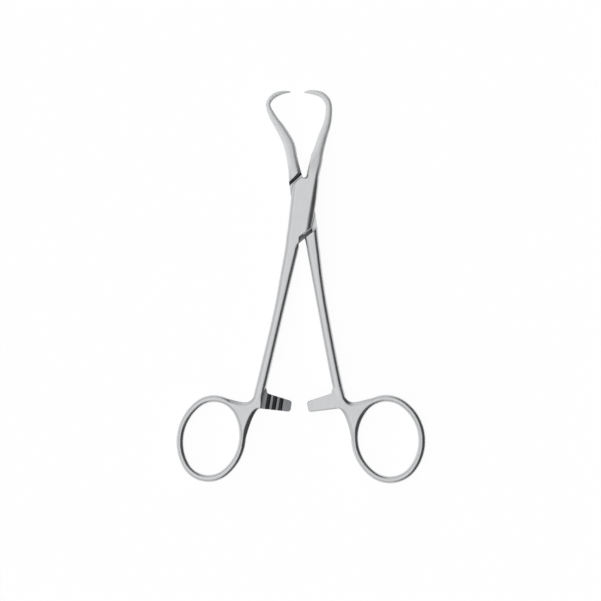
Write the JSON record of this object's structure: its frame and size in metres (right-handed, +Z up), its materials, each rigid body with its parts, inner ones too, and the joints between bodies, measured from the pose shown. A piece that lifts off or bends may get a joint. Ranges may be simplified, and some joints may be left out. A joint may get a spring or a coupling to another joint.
{
  "type": "towel clamp",
  "caption": "Ring-handled surgical towel clamp with inward-curving pointed jaws, a box lock and a finger ratchet.",
  "frame": {"origin": "on the axis of the pin, in the plane of the flat underside of the box lock", "axes": "+Y to the tips of the jaws, +X to the right seen from above, +Z up, along the pin"},
  "size_m": [0.0849, 0.1341, 0.0056],
  "materials": {
    "satin_steel": "satin",
    "ground_steel": "fine ground, flush"
  },
  "bodies": {
    "box_half": {"box_arm": "satin_steel", "pivot_pin": "ground_steel"},
    "tenon_half": {"tenon_arm": "satin_steel"}
  },
  "joints": [
    {"name": "box_lock", "type": "hinge", "parent": "box_half", "child": "tenon_half", "pos_m": [0, 0, 0.0028], "axis": [0, 0, 1], "range_deg": [-6.2, 50]}
  ]
}
